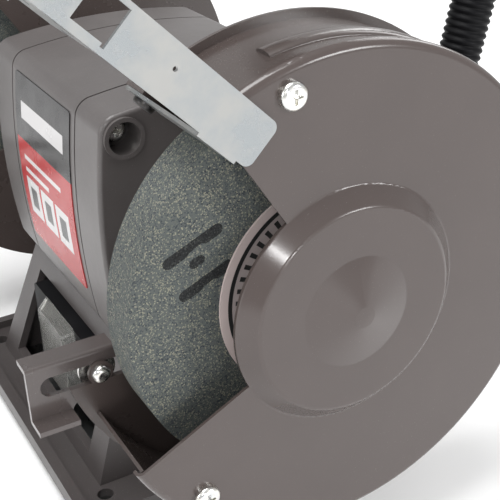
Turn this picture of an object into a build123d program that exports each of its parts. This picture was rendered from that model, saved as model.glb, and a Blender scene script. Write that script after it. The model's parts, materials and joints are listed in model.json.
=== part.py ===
from build123d import *
import os
from math import cos, radians, sin

# Bench grinder with two 150 mm wheels, in millimetres.
# X runs along the spindle (the lamp side is +X), Y to the back, Z up.
# The origin is the centre of the four bench bolt holes, on the bench.

# ---------------------------------------------------------------- driving sizes
spindle_height = 120.0
cover_face_x = 151.5          # from the middle of the grinder to a cover's flat face

wheel_radius = 75.0
wheel_width = 18.0
wheel_bore_radius = 6.35
wheel_face_setback = 16.7     # cover face to the wheel's outer side
blotter_radius = 41.5
blotter_thickness = 0.8
flange_radius = 26.0
flange_thickness = 5.0
nut_thickness = 8.0
nut_across_flats = 19.0
spindle_radius = 7.5
running_clearance = 0.05

sheet = 1.2
guard_depth = 41.0            # cover face to the guard's back plate
guard_plate = 1.5
drum_radius = 90.3
drum_gap = 0.8                # between the drum and the cover's skirt
skirt_depth = 4.5
lip_radius = 93.5
hub_plate_radius = 44.0
mouth_top_angle = 122.5       # seen from +X, measured from the back, over the top
mouth_bottom_angle = 206.2
boss_radius = 44.5
boss_top_radius = 38.4
boss_height = 5.8
cone_radius = 21.0
cone_height = 5.0
rim_bend = 3.0
foot_bend = 1.4
boss_bend = 2.0
cone_bend = 2.5
cover_screw_circle = 83.0
cover_screw_angles = (105, 225, 345)
bead_angles = (60, 103)

half_section = 50.5           # motor housing: half size at the corners
crown = 4.5                   # how far each side bulges
section_corner = 8.0
band_half_length = 38.0
seam_gap = 1.0
cap_length = 24.5
stator_radius = 50.0
bolt_offset = 42.0            # through bolts, from the spindle, both ways
neck_radius = 34.0
neck_wall = 4.0
neck_flange_radius = 38.0
neck_flange = 4.0
guard_screw_circle = 32.0
bearing_radius = 17.5
bearing_width = 11.0
stator_half_length = 22.0
air_gap = 0.4

foot_height = 4.0
flange_plate = 4.0
base_x = 176.0
base_y = 168.0
base_corner = 14.0
rim_height = 4.0
rim_width = 5.0
hole_x = 144.0
hole_y = 138.0
hole_radius = 3.5
pedestal_foot = (132.0, 138.0)
pedestal_top = (114.0, 92.0)
pedestal_wall = 4.0
window_foot = 98.0
window_top = 90.0
window_sill = 14.0
window_head = 58.0

switch_box_size = (72.0, 35.0, 45.5)
switch_front_y = -57.0
switch_rise = 2.2             # switch above the middle of its box
rocker_width = 21.0
rocker_half_height = 12.2
rocker_reach = 7.0            # how far the raised end stands out from the pivot
rocker_pivot_depth = 4.0      # pivot behind the panel
rocker_pin_radius = 1.4
bezel = (23.0, 30.0)
boot_front = (33.0, 36.0)
boot_foot = (40.0, 42.0)
boot_depth = 5.5
boot_wall = 1.0

rest_sheet = 2.0
rest_front_y = -104.0
rest_back_y = -62.0
rest_top_z = 105.0
rest_bottom_z = 82.0
rest_slot_z = 95.8
rest_slot_height = 7.7
rest_slot_ends = (-99.5, -65.5)
rest_bolt_y = -77.5
rest_bolt_radius = 2.5
rest_ear_radius = 4.6
rest_notch_radius = 4.5
rest_flange_top = 9.0
rest_flange_bottom = 8.0
rest_flange_length = 15.0
slide_gap = 0.1

shield_sheet = 1.2
shield_arm_width = 16.5
shield_arm_length = 112.0
shield_arm_gap = 0.5          # between the arm and the cover's face
shield_heel = (-38.3, 60.3)   # the arm's lower front corner, (Y, Z) from the spindle
shield_lean = 45.0            # the arm leans forward by this angle from upright
arrestor_span = (5.5, 22.0)   # along the arm
arrestor_slot = 14.0
shelf_start = 60.0
arm_hole = (40.6, 1.6)        # small round hole, along and across the arm
shelf_depth = 41.0
pane_span = (88.0, 158.0)
pane_width = 60.0
pane_thickness = 3.0
clamp_bolt_radius = 2.5
pane_screw_radius = 1.9
arm_corner = 3.0
arm_window = 12.8

neck_hose_radius = 10.0
ferrule_shank_radius = 6.0
gland_radius = 7.0
neck_x = 55.0
neck_foot_y = 93.4
neck_foot_z = 36.0
neck_leans = (14.4, -15.0, -62.0)     # each stretch's lean back from upright
neck_lengths = (186.0, 80.0, 75.0)
neck_joint_gap = 0.4
head_lean = -135.0
shade_radius = 34.0
shade_length = 62.0
shade_wall = 1.6
button_radius = 3.4
socket_radius = 8.0
bulb_radius = 13.0

# ---------------------------------------------------------------- worked-out places
wheel_x = cover_face_x - wheel_face_setback - wheel_width / 2
wheel_out = wheel_x + wheel_width / 2
wheel_in = wheel_x - wheel_width / 2
plate_x = cover_face_x - guard_depth          # guard back plate, wheel side
plate_back = plate_x - guard_plate
cap_start = band_half_length + seam_gap
cap_end = cap_start + cap_length
flange_top_z = foot_height + flange_plate
arrestor_gap = 0.2                            # between the arrestor and its ear
arrestor_middle = (arrestor_span[0] + arrestor_span[1]) / 2
clamp_x = plate_back - 5.5
ear_width = arrestor_span[1] - arrestor_span[0] - 3
ear_reach = clamp_x - 6
spindle_axis = Axis((0, 0, spindle_height), (1, 0, 0))
lathe = Plane(origin=(0, 0, spindle_height), x_dir=(1, 0, 0), z_dir=(0, -1, 0))


def across(x):
    """Plane across the spindle at x, with (Y, Z) measured from the spindle."""
    return Plane(origin=(x, 0, spindle_height), x_dir=(0, 1, 0), z_dir=(1, 0, 0))


def polar(radius, angle):
    """(Y, Z) of a point round the spindle, seen from +X."""
    return (radius * cos(radians(angle)), radius * sin(radians(angle)))


def housing_section(plane, grow=0.0):
    """Square with bulging sides and round corners, centred on the plane."""
    half = half_section + grow
    with BuildSketch(plane) as section:
        with BuildLine():
            corners = [(half, half), (-half, half), (-half, -half), (half, -half)]
            for index, corner in enumerate(corners):
                following = corners[(index + 1) % 4]
                middle = [(a + b) / 2 for a, b in zip(corner, following)]
                bulge = tuple(m * (half + crown) / half for m in middle)
                ThreePointArc(corner, bulge, following)
        make_face()
        fillet(section.vertices(), section_corner)
    return section.sketch


def mouth(plane, keep_radius, floor=-3 * drum_radius):
    """The guard's front opening: a wedge outside keep_radius and above floor."""
    far = 3 * drum_radius
    middle = (mouth_top_angle + mouth_bottom_angle) / 2
    with BuildSketch(plane) as wedge:
        with BuildLine():
            Polyline((0, 0), polar(far, mouth_top_angle), polar(far, middle),
                     polar(far, mouth_bottom_angle), close=True)
        make_face()
        Circle(keep_radius, mode=Mode.SUBTRACT)
        with Locations((0, floor)):
            Rectangle(3 * far, 3 * far, align=(Align.CENTER, Align.MIN), mode=Mode.INTERSECT)
    return wedge.sketch


def radial_plane(angle):
    """Plane through the spindle: X along it, local Y outward at the angle."""
    outward = (0, -sin(radians(angle)), cos(radians(angle)))
    return Plane(origin=(0, 0, spindle_height), x_dir=(1, 0, 0), z_dir=outward)


def arm_plane(x):
    """Plane of the shield arm: local X up the arm, local Y to its upper back edge."""
    lean = radians(shield_lean)
    heel_y, heel_z = shield_heel
    return Plane(origin=(x, heel_y, spindle_height + heel_z), x_dir=(0, -sin(lean), cos(lean)),
                 z_dir=(-1, 0, 0))


def arm_point(along, offset):
    """(Y, Z) from the spindle of a point beside the shield arm."""
    lean = radians(shield_lean)
    heel_y, heel_z = shield_heel
    return (heel_y - along * sin(lean) + offset * cos(lean), heel_z + along * cos(lean) + offset * sin(lean))


def shield_plane(offset, along=0.0, x=0.0):
    """Plane of the arrestor: local X up the arm, local Y along +X, offset to its back."""
    lean = radians(shield_lean)
    y, z = arm_point(along, offset)
    return Plane(origin=(x, y, spindle_height + z), x_dir=(0, -sin(lean), cos(lean)),
                 z_dir=(0, cos(lean), sin(lean)))


def ring(x_start, length, outer, inner):
    """Ring round the spindle."""
    with BuildPart() as piece:
        with BuildSketch(across(x_start)):
            Circle(outer)
            if inner:
                Circle(inner, mode=Mode.SUBTRACT)
        extrude(amount=length)
    return piece.part


def pan_screw(plane, head_radius, head_height, shank_radius, shank_length):
    """Cross-slot screw: the head stands on the plane, the shank goes below it."""
    with BuildPart() as screw:
        with BuildSketch(plane):
            Circle(head_radius)
        extrude(amount=head_height)
        fillet(screw.faces().sort_by(Axis(plane.origin, plane.z_dir))[-1].edges(), head_height * 0.6)
        with BuildSketch(plane):
            Circle(shank_radius)
        extrude(amount=-shank_length)
        with BuildSketch(plane.offset(head_height)):
            Rectangle(head_radius, head_radius * 0.22)
            Rectangle(head_radius * 0.22, head_radius)
        extrude(amount=-head_height * 0.55, mode=Mode.SUBTRACT)
    return screw.part


def hex_nut(plane, across_flats, thickness, bore):
    """Hexagonal nut that stands on the plane."""
    with BuildPart() as nut:
        with BuildSketch(plane):
            RegularPolygon(across_flats / 2, 6, major_radius=False)
            Circle(bore, mode=Mode.SUBTRACT)
        extrude(amount=thickness)
    return nut.part


def mirrored(part):
    """The same piece on the other side of the grinder."""
    with BuildPart() as copy:
        mirror(part, about=Plane.YZ)
    return copy.part


pieces = {}


def finish(name, part):
    """Label a finished piece and keep it for export."""
    part.label = name
    pieces[name] = part


def finish_pair(name, part):
    """Keep a right-hand piece and its left-hand mirror image."""
    finish(name + "_right", part)
    finish(name + "_left", mirrored(part))


# ================================================================ base
def pedestal(grow):
    """Tapered pedestal block; a negative grow gives its hollow."""
    with BuildPart() as block:
        for plane, size in ((Plane.XY.offset(flange_top_z), pedestal_foot),
                            (Plane.XY.offset(spindle_height - half_section), pedestal_top)):
            with BuildSketch(plane):
                Rectangle(size[0] + 2 * grow, size[1] + 2 * grow)
        loft()
    return block.part


pedestal_block = pedestal(0)
pedestal_hollow = pedestal(-pedestal_wall)

# the mains inlet through the pedestal's rear wall
rear_slope = (pedestal_foot[1] - pedestal_top[1]) / 2 / (spindle_height - half_section - flange_top_z)
inlet_z = flange_top_z + 20
inlet_y = pedestal_foot[1] / 2 - (inlet_z - flange_top_z) * rear_slope
inlet_plane = Plane(origin=(-30, inlet_y, inlet_z), x_dir=(-1, 0, 0), z_dir=(0, 1, 0))

with BuildPart() as base_casting:
    with BuildSketch(Plane.XY.offset(foot_height)):
        RectangleRounded(base_x, base_y, base_corner)
        with Locations((neck_x, neck_foot_y)):
            Circle(base_corner)
        with Locations((neck_x, base_y / 2)):
            Rectangle(2 * base_corner, 2 * base_corner)
    extrude(amount=flange_plate)
    with BuildSketch(Plane.XY.offset(flange_top_z)):
        RectangleRounded(base_x, base_y, base_corner)
        RectangleRounded(base_x - 2 * rim_width, base_y - 2 * rim_width, base_corner - rim_width,
                         mode=Mode.SUBTRACT)
        with Locations((neck_x, neck_foot_y)):
            Circle(base_corner)
    extrude(amount=rim_height)
    add(pedestal_block)
    add(pedestal_hollow, mode=Mode.SUBTRACT)
    with BuildSketch(Plane.XY.offset(foot_height)):
        Rectangle(pedestal_foot[0] - 2 * pedestal_wall, pedestal_foot[1] - 2 * pedestal_wall)
    extrude(amount=flange_plate, mode=Mode.SUBTRACT)
    # saddle under the motor housing
    with BuildSketch(Plane.XY.offset(spindle_height - half_section - crown - 6)):
        Rectangle(pedestal_top[0], pedestal_top[1])
        Circle(12, mode=Mode.SUBTRACT)
    extrude(amount=crown + 6)
    extrude(housing_section(across(-pedestal_top[0])), amount=2 * pedestal_top[0], mode=Mode.SUBTRACT)
    # front window for the switch
    with BuildSketch(Plane.XZ.offset(pedestal_top[1] / 2 - 2 * pedestal_wall)):
        with BuildLine():
            Polyline((-window_foot / 2, window_sill), (window_foot / 2, window_sill),
                     (window_top / 2, window_head), (-window_top / 2, window_head), close=True)
        make_face()
    extrude(amount=pedestal_foot[1] / 2, mode=Mode.SUBTRACT)
    # bench holes and the lamp's hole
    with Locations(Plane.XY.offset(flange_top_z)):
        with GridLocations(hole_x, hole_y, 2, 2):
            Hole(hole_radius)
    with Locations((neck_x, neck_foot_y, flange_top_z + rim_height)):
        Hole(ferrule_shank_radius)
    # mains inlet
    with BuildSketch(inlet_plane.offset(-14)):
        Circle(gland_radius)
    extrude(amount=24, mode=Mode.SUBTRACT)
finish("base_casting", base_casting.part)

with BuildPart() as rubber_feet:
    with BuildSketch(Plane.XY):
        with GridLocations(hole_x, hole_y, 2, 2):
            Circle(9)
            Circle(hole_radius, mode=Mode.SUBTRACT)
    extrude(amount=foot_height)
finish("rubber_feet", rubber_feet.part)

with BuildPart() as bottom_plate:
    with BuildSketch(Plane.XY.offset(foot_height - sheet)):
        RectangleRounded(pedestal_foot[0] - 2 * pedestal_wall + 3,
                         pedestal_foot[1] - 2 * pedestal_wall + 3, 6)
    extrude(amount=sheet)
    with BuildSketch(Plane.XY.offset(foot_height)):
        Rectangle(pedestal_foot[0] - 2 * pedestal_wall - 1, pedestal_foot[1] - 2 * pedestal_wall - 1)
    extrude(amount=sheet)
finish("bottom_plate", bottom_plate.part)

# ---------------------------------------------------------------- switch
switch_floor_z = flange_top_z + pedestal_wall
switch_z = switch_floor_z + switch_box_size[2] / 2 + switch_rise
switch_face = Plane(origin=(0, switch_front_y, switch_z), x_dir=(1, 0, 0), z_dir=(0, -1, 0))
rocker_pivot = (0, switch_front_y + rocker_pivot_depth, switch_z)
well_width = rocker_width + 0.6
well_height = 2 * rocker_half_height + 3.4

with BuildPart() as switch_box:
    with BuildSketch(Plane.XZ.offset(-switch_front_y)):
        with Locations((0, switch_floor_z + switch_box_size[2] / 2)):
            RectangleRounded(switch_box_size[0], switch_box_size[2], 3)
    extrude(amount=-switch_box_size[1])
    with BuildSketch(switch_face):
        Rectangle(*bezel)
    extrude(amount=-switch_box_size[1] + 2, mode=Mode.SUBTRACT)
finish("switch_box", switch_box.part)

with BuildPart() as switch_body:
    with BuildSketch(switch_face):
        Rectangle(*bezel)
    extrude(amount=-22)
    with BuildSketch(switch_face):
        Rectangle(well_width, well_height)
    extrude(amount=-2 * rocker_pivot_depth - 1.5, mode=Mode.SUBTRACT)
    with BuildSketch(switch_face.offset(-22)):
        with GridLocations(12, 8, 2, 2):
            Rectangle(0.8, 4.8)
    extrude(amount=-6)
finish("switch_body", switch_body.part)

with BuildPart() as rocker:
    with BuildSketch(Plane(origin=rocker_pivot, x_dir=(0, 1, 0), z_dir=(1, 0, 0))):
        with BuildLine():
            Polyline((-rocker_reach, rocker_half_height), (-rocker_reach * 0.62, 0),
                     (-rocker_reach * 0.43, -rocker_half_height),
                     (1.5, -rocker_half_height + 1.5), (1.5, rocker_half_height - 1.5), close=True)
        make_face()
    extrude(amount=rocker_width / 2, both=True)
    with BuildSketch(Plane(origin=rocker_pivot, x_dir=(0, 1, 0), z_dir=(1, 0, 0))):
        Circle(rocker_pin_radius)
    extrude(amount=rocker_width / 2 + 0.15, both=True)
finish("rocker", rocker.part)


def boot_block(shrink):
    """Drafted block of the boot; shrink gives its hollow."""
    with BuildPart() as block:
        with BuildSketch(switch_face):
            RectangleRounded(boot_foot[0] - shrink, boot_foot[1] - shrink, 4)
        with BuildSketch(switch_face.offset(boot_depth - shrink / 2)):
            RectangleRounded(boot_front[0] - shrink, boot_front[1] - shrink, 4)
        loft()
    return block.part


boot_outside = boot_block(0)
boot_hollow = boot_block(2 * boot_wall)

with BuildPart() as switch_boot:
    add(boot_outside)
    add(boot_hollow, mode=Mode.SUBTRACT)
finish("switch_boot", switch_boot.part)

with BuildPart() as capacitor:
    with BuildSketch(Plane.XY.offset(foot_height + sheet)):
        with Locations((-36, 12)):
            Circle(15)
    extrude(amount=34)
    fillet(capacitor.edges().filter_by(GeomType.CIRCLE).group_by(Axis.Z)[-1], 2)
finish("capacitor", capacitor.part)

with BuildPart() as terminal_block:
    with BuildSketch(Plane.XY.offset(foot_height + sheet)):
        with Locations((22, 18)):
            Rectangle(42, 16)
    extrude(amount=9)
    with BuildSketch(Plane.XY.offset(foot_height + sheet + 9)):
        with Locations((22, 18)):
            with GridLocations(10, 8, 4, 2):
                Circle(2.2)
    extrude(amount=3)
    with BuildSketch(Plane.XY.offset(foot_height + sheet + 12)):
        with Locations((22, 18)):
            with GridLocations(10, 8, 4, 2):
                Circle(1.4)
    extrude(amount=-6, mode=Mode.SUBTRACT)
finish("terminal_block", terminal_block.part)

with BuildPart() as cable_gland:
    with BuildSketch(inlet_plane.offset(-14)):
        Circle(gland_radius)
    extrude(amount=20)
    with BuildSketch(inlet_plane.offset(5)):
        RegularPolygon(9.5, 6, major_radius=False)
    extrude(amount=7)
    with BuildSketch(inlet_plane.offset(12)):
        Circle(7.5)
    extrude(amount=6)
    fillet(cable_gland.faces().sort_by(Axis.Y)[-1].edges(), 2)
    with BuildSketch(inlet_plane.offset(18)):
        Circle(3.8)
    extrude(amount=-32, mode=Mode.SUBTRACT)
finish("cable_gland", cable_gland.part)

# ================================================================ motor
with BuildPart() as motor_band:
    extrude(housing_section(across(-band_half_length)), amount=2 * band_half_length)
    with BuildSketch(across(-band_half_length)):
        Circle(stator_radius)
    extrude(amount=2 * band_half_length, mode=Mode.SUBTRACT)
    with BuildSketch(across(-band_half_length)):
        with GridLocations(2 * bolt_offset, 2 * bolt_offset, 2, 2):
            Circle(2.6)
    extrude(amount=2 * band_half_length, mode=Mode.SUBTRACT)
finish("motor_band", motor_band.part)

with BuildPart() as end_cap:
    extrude(housing_section(across(cap_start)), amount=cap_length)
    fillet(end_cap.faces().sort_by(Axis.X)[-1].edges(), 2)
    with BuildSketch(across(cap_start - seam_gap - 5)):
        Circle(stator_radius)
    extrude(amount=seam_gap + 5)
    # hollow round the windings, open to the neck
    with BuildSketch(across(cap_start - seam_gap - 5)):
        Circle(stator_radius - 3)
    extrude(amount=cap_length + seam_gap + 1, mode=Mode.SUBTRACT)
    with BuildSketch(across(cap_end)):
        Circle(neck_radius - neck_wall)
    extrude(amount=-neck_wall, mode=Mode.SUBTRACT)
    # through-bolt pockets with raised rims
    with BuildSketch(across(cap_end)):
        with GridLocations(2 * bolt_offset, 2 * bolt_offset, 2, 2):
            Circle(8.3)
    extrude(amount=1.5)
    with BuildSketch(across(cap_end + 1.5)):
        with GridLocations(2 * bolt_offset, 2 * bolt_offset, 2, 2):
            Circle(6.6)
    extrude(amount=-13, mode=Mode.SUBTRACT)
    with BuildSketch(across(cap_end)):
        with GridLocations(2 * bolt_offset, 2 * bolt_offset, 2, 2):
            Circle(2.6)
    extrude(amount=-cap_length, mode=Mode.SUBTRACT)
finish_pair("end_cap", end_cap.part)

with BuildPart() as bearing_neck:
    with BuildSketch(across(cap_end)):
        Circle(neck_radius)
    extrude(amount=plate_back - cap_end)
    with BuildSketch(across(plate_back - neck_flange)):
        Circle(neck_flange_radius)
    extrude(amount=neck_flange)
    # wide bore, bearing seat, spindle hole
    bore_depth = plate_back - cap_end
    for radius, depth in ((neck_radius - neck_wall, bore_depth - 25), (bearing_radius, bore_depth - 6),
                          (spindle_radius + 2, bore_depth)):
        with BuildSketch(across(cap_end)):
            Circle(radius)
        extrude(amount=depth, mode=Mode.SUBTRACT)
    with BuildSketch(across(plate_back)):
        with PolarLocations(guard_screw_circle, 3):
            Circle(2.1)
    extrude(amount=-14, mode=Mode.SUBTRACT)
finish_pair("bearing_neck", bearing_neck.part)

through_bolt_seat = cap_end + 1.5 - 13

with BuildPart() as through_bolts:
    for side_y in (-bolt_offset, bolt_offset):
        for side_z in (-bolt_offset, bolt_offset):
            centre = (through_bolt_seat, side_y, spindle_height + side_z)
            add(pan_screw(Plane(origin=centre, x_dir=(0, 1, 0), z_dir=(1, 0, 0)),
                          4.8, 3.4, 2.5, 2 * through_bolt_seat))
            with BuildSketch(across(-through_bolt_seat)):
                with Locations((side_y, side_z)):
                    RegularPolygon(4.4, 6, major_radius=False)
            extrude(amount=-4)
finish("through_bolts", through_bolts.part)

with BuildPart() as front_label:
    extrude(housing_section(across(-33.5), 0.4), amount=67)
    extrude(housing_section(across(-33.5)), amount=67, mode=Mode.SUBTRACT)
    with BuildSketch(Plane.XZ):
        with Locations((0, spindle_height + 5)):
            RectangleRounded(67, 80, 2)
    extrude(amount=100, mode=Mode.INTERSECT)
finish("front_label", front_label.part)

finish("stator_core", ring(-stator_half_length, 2 * stator_half_length, stator_radius, 27))
with BuildPart() as stator_windings:
    for start in (-stator_half_length - 13, stator_half_length):
        add(ring(start, 13, 44, 29))
    fillet(stator_windings.edges().filter_by(GeomType.CIRCLE), 3)
finish("stator_windings", stator_windings.part)
finish("rotor_core", ring(-stator_half_length, 2 * stator_half_length, 27 - air_gap, spindle_radius))

bearing_start = plate_back - 6 - bearing_width
with BuildPart() as bearing:
    add(ring(bearing_start, bearing_width, bearing_radius, 13.6))
    add(ring(bearing_start + 1, bearing_width - 2, 13.6, 11.2 + 0.3))
finish_pair("bearing", bearing.part)
with BuildPart() as inner_race:
    add(ring(bearing_start, bearing_width, 11.2, spindle_radius))
    mirror(about=Plane.YZ)
finish("bearing_inner_races", inner_race.part)

spindle_end = wheel_out + blotter_thickness + flange_thickness + nut_thickness + 3
flange_seat = wheel_in - blotter_thickness - flange_thickness
with BuildPart() as spindle:
    add(ring(0, flange_seat, spindle_radius, 0))
    add(ring(flange_seat, spindle_end - flange_seat, wheel_bore_radius - running_clearance, 0))
    chamfer(spindle.faces().sort_by(Axis.X)[-1].edges(), 1)
    mirror(about=Plane.YZ)
finish("spindle", spindle.part)

# ================================================================ wheels
finish_pair("wheel", ring(wheel_in, wheel_width, wheel_radius, wheel_bore_radius))
with BuildPart() as blotters:
    for start in (wheel_in - blotter_thickness, wheel_out):
        add(ring(start, blotter_thickness, blotter_radius, wheel_bore_radius))
finish_pair("blotters", blotters.part)
with BuildPart() as inner_flange:
    add(ring(flange_seat, flange_thickness, flange_radius, wheel_bore_radius))
    with BuildSketch(across(flange_seat + flange_thickness)):
        Circle(flange_radius - 6)
        Circle(wheel_bore_radius + 4, mode=Mode.SUBTRACT)
    extrude(amount=-1, mode=Mode.SUBTRACT)
finish_pair("inner_flange", inner_flange.part)
with BuildPart() as outer_flange:
    add(ring(wheel_out + blotter_thickness, flange_thickness, flange_radius, wheel_bore_radius))
    chamfer(outer_flange.faces().sort_by(Axis.X)[-1].edges().sort_by(SortBy.RADIUS)[-1], 2)
finish_pair("outer_flange", outer_flange.part)
nut_seat = wheel_out + blotter_thickness + flange_thickness
finish_pair("wheel_nut", hex_nut(across(nut_seat), nut_across_flats, nut_thickness, wheel_bore_radius))

# ================================================================ guards
lug_width = 13.0
lug_radius_in = wheel_radius + 1.5

drum_length = guard_depth - sheet - 0.6         # stops short of the cover's bend
plate_mouth = mouth(across(plate_back), hub_plate_radius, rest_slot_z - spindle_height - 3)
drum_mouth = mouth(across(plate_x), hub_plate_radius)

with BuildPart() as guard_back:
    with BuildSketch(across(plate_back)):
        Circle(lip_radius)
    extrude(amount=guard_plate)
    extrude(plate_mouth, amount=guard_plate, mode=Mode.SUBTRACT)
    with BuildSketch(across(plate_back)):
        with Locations((rest_bolt_y, rest_slot_z - spindle_height)):
            Circle(rest_ear_radius)
    extrude(amount=guard_plate)
    # ear behind the spark arrestor's slotted end, folded back from the plate
    with BuildSketch(shield_plane(arrestor_gap)):
        with Locations((arrestor_middle, (ear_reach + plate_x) / 2)):
            Rectangle(ear_width, plate_x - ear_reach)
    extrude(amount=guard_plate)
    with BuildSketch(across(plate_back)):
        with BuildLine():
            Polyline(arm_point(arrestor_middle - ear_width / 2, arrestor_gap),
                     arm_point(arrestor_middle + ear_width / 2, arrestor_gap),
                     arm_point(arrestor_middle + ear_width / 2, 6), arm_point(0, 12),
                     close=True)
        make_face()
    extrude(amount=guard_plate)
    # bolt holes: tool rest, shield clamp, neck flange, spindle
    with BuildSketch(across(plate_back)):
        with Locations((rest_bolt_y, rest_slot_z - spindle_height)):
            Circle(rest_bolt_radius + 0.1)
        Circle(neck_radius - 12)
        with PolarLocations(guard_screw_circle, 3):
            Circle(2.7)
    extrude(amount=guard_plate, mode=Mode.SUBTRACT)
    with BuildSketch(shield_plane(arrestor_gap)):
        with Locations((arrestor_middle, clamp_x)):
            Circle(clamp_bolt_radius + 0.1)
    extrude(amount=guard_plate, mode=Mode.SUBTRACT)
finish_pair("guard_plate", guard_back.part)

with BuildPart() as guard:
    with BuildSketch(across(plate_x)):
        Circle(drum_radius)
        Circle(drum_radius - sheet, mode=Mode.SUBTRACT)
    extrude(amount=drum_length)
    extrude(drum_mouth, amount=drum_length, mode=Mode.SUBTRACT)
    # screw lugs behind the cover
    with BuildSketch(across(cover_face_x - sheet)):
        for angle in cover_screw_angles:
            with PolarLocations(drum_radius - sheet, 1, start_angle=angle):
                Rectangle(2 * (drum_radius - sheet - lug_radius_in), lug_width)
        Circle(drum_radius - sheet + 0.2, mode=Mode.INTERSECT)
    extrude(amount=-2)
    # long bead on top of the drum
    with BuildSketch(radial_plane(bead_angles[0])):
        with Locations(((plate_x + cover_face_x) / 2 + 2, drum_radius)):
            Ellipse(4.5, 1.6)
        with Locations((cover_face_x, drum_radius - sheet / 2 - 5)):
            Rectangle(2 * guard_depth, 10, mode=Mode.SUBTRACT)
    revolve(axis=spindle_axis, revolution_arc=bead_angles[1] - bead_angles[0])
    with BuildSketch(across(cover_face_x - sheet)):
        for angle in cover_screw_angles:
            with Locations(polar(cover_screw_circle, angle)):
                Circle(2.5)
    extrude(amount=-2, mode=Mode.SUBTRACT)
finish_pair("guard", guard.part)

cover_mouth = mouth(across(cover_face_x - skirt_depth - 1), boss_radius)
skirt_radius = drum_radius + drum_gap + sheet

with BuildPart() as guard_cover:
    with BuildSketch(lathe) as cover_profile:
        face = cover_face_x
        apex = face + boss_height + cone_height
        with BuildLine():
            Polyline((apex - 0.3, 4), (face + boss_height, cone_radius),
                     (face + boss_height, boss_top_radius),
                     (face, boss_radius), (face, skirt_radius), (face - skirt_depth, skirt_radius),
                     (face - skirt_depth, skirt_radius - sheet), (face - sheet, skirt_radius - sheet),
                     (face - sheet, boss_radius - sheet / 2),
                     (face + boss_height - sheet, boss_top_radius - sheet / 2),
                     (face + boss_height - sheet, cone_radius - sheet / 4), (apex - 0.3 - sheet, 4))
            Line((apex - 0.3 - sheet, 4), (apex - sheet, 0))
            Line((apex - sheet, 0), (apex, 0))
            ThreePointArc((apex, 0), (apex - 0.08, 2.1), (apex - 0.3, 4))
        make_face()
        for distance, radius, bend in (
                (face, skirt_radius, rim_bend), (face - sheet, skirt_radius - sheet, rim_bend - sheet),
                (face, boss_radius, foot_bend), (face - sheet, boss_radius - sheet / 2, foot_bend + sheet),
                (face + boss_height, boss_top_radius, boss_bend),
                (face + boss_height - sheet, boss_top_radius - sheet / 2, boss_bend - sheet),
                (face + boss_height, cone_radius, cone_bend),
                (face + boss_height - sheet, cone_radius - sheet / 4, cone_bend)):
            fillet(cover_profile.vertices().sort_by_distance((distance, radius, 0))[0], bend)
    revolve(axis=spindle_axis)
    extrude(cover_mouth, amount=3 * skirt_depth, mode=Mode.SUBTRACT)
    with BuildSketch(across(cover_face_x)):
        for angle in cover_screw_angles:
            with Locations(polar(cover_screw_circle, angle)):
                Circle(2.6)
    extrude(amount=-2 * sheet, mode=Mode.SUBTRACT)
finish_pair("guard_cover", guard_cover.part)


def facing(x, radius, angle):
    """Plane across the spindle at a point round it, facing +X."""
    y, z = polar(radius, angle)
    return Plane(origin=(x, y, spindle_height + z), x_dir=(0, 1, 0), z_dir=(1, 0, 0))


with BuildPart() as cover_screws:
    for angle in cover_screw_angles:
        add(pan_screw(facing(cover_face_x, cover_screw_circle, angle), 4.8, 3.0, 2.45, 8))
    mirror(about=Plane.YZ)
finish("cover_screws", cover_screws.part)

with BuildPart() as guard_screws:
    for angle in (0, 120, 240):
        add(pan_screw(facing(plate_x, guard_screw_circle, angle), 3.8, 2.4, 2.0, 10))
    mirror(about=Plane.YZ)
finish("guard_screws", guard_screws.part)

# ================================================================ tool rests
rest_back = plate_back - slide_gap
rest_plane_x = rest_back - rest_sheet

with BuildPart() as tool_rest:
    with BuildSketch(Plane.YZ.offset(rest_plane_x)):
        with Locations(((rest_front_y + rest_back_y) / 2, (rest_bottom_z + rest_top_z) / 2)):
            Rectangle(rest_back_y - rest_front_y, rest_top_z - rest_bottom_z)
        with Locations(((rest_slot_ends[0] + rest_slot_ends[1]) / 2, rest_slot_z)):
            SlotOverall(rest_slot_ends[1] - rest_slot_ends[0], rest_slot_height, mode=Mode.SUBTRACT)
        with Locations((rest_front_y + rest_flange_length + rest_notch_radius, rest_bottom_z)):
            Circle(rest_notch_radius, mode=Mode.SUBTRACT)
    extrude(amount=rest_sheet)
    with BuildSketch(Plane.XY.offset(rest_top_z)):
        with Locations((rest_back, rest_front_y)):
            Rectangle(rest_flange_top, rest_back_y - rest_front_y - 9, align=(Align.MAX, Align.MIN))
    extrude(amount=-rest_sheet)
    with BuildSketch(Plane.XY.offset(rest_bottom_z)):
        with Locations((rest_plane_x, rest_front_y)):
            Rectangle(rest_flange_bottom + rest_sheet, rest_flange_length, align=(Align.MIN, Align.MIN))
    extrude(amount=rest_sheet)
    fillet(tool_rest.edges().filter_by(Axis.Y).group_by(Axis.Z)[-1].sort_by(Axis.X)[-1], 1.5)
    fillet(tool_rest.edges().filter_by(Axis.Y).group_by(Axis.Z)[0].sort_by(Axis.X)[0], 1.5)
finish_pair("tool_rest_bracket", tool_rest.part)

with BuildPart() as rest_bolts:
    bolt_plane = Plane(origin=(plate_x, rest_bolt_y, rest_slot_z), x_dir=(0, 1, 0), z_dir=(1, 0, 0))
    with BuildSketch(bolt_plane):
        Circle(rest_bolt_radius + 1)
    extrude(amount=2.4)
    fillet(rest_bolts.faces().sort_by(Axis.X)[-1].edges(), 2.1)
    with BuildSketch(bolt_plane):
        Circle(rest_bolt_radius)
    extrude(amount=-15)
    with BuildSketch(bolt_plane.offset(rest_plane_x - slide_gap - plate_x)):
        Circle(7)
    extrude(amount=-1.2)
    with BuildSketch(bolt_plane.offset(rest_plane_x - slide_gap - 1.2 - plate_x)):
        RegularPolygon(5, 6, major_radius=False)
    extrude(amount=-5)
    mirror(about=Plane.YZ)
finish("rest_bolts", rest_bolts.part)

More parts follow.
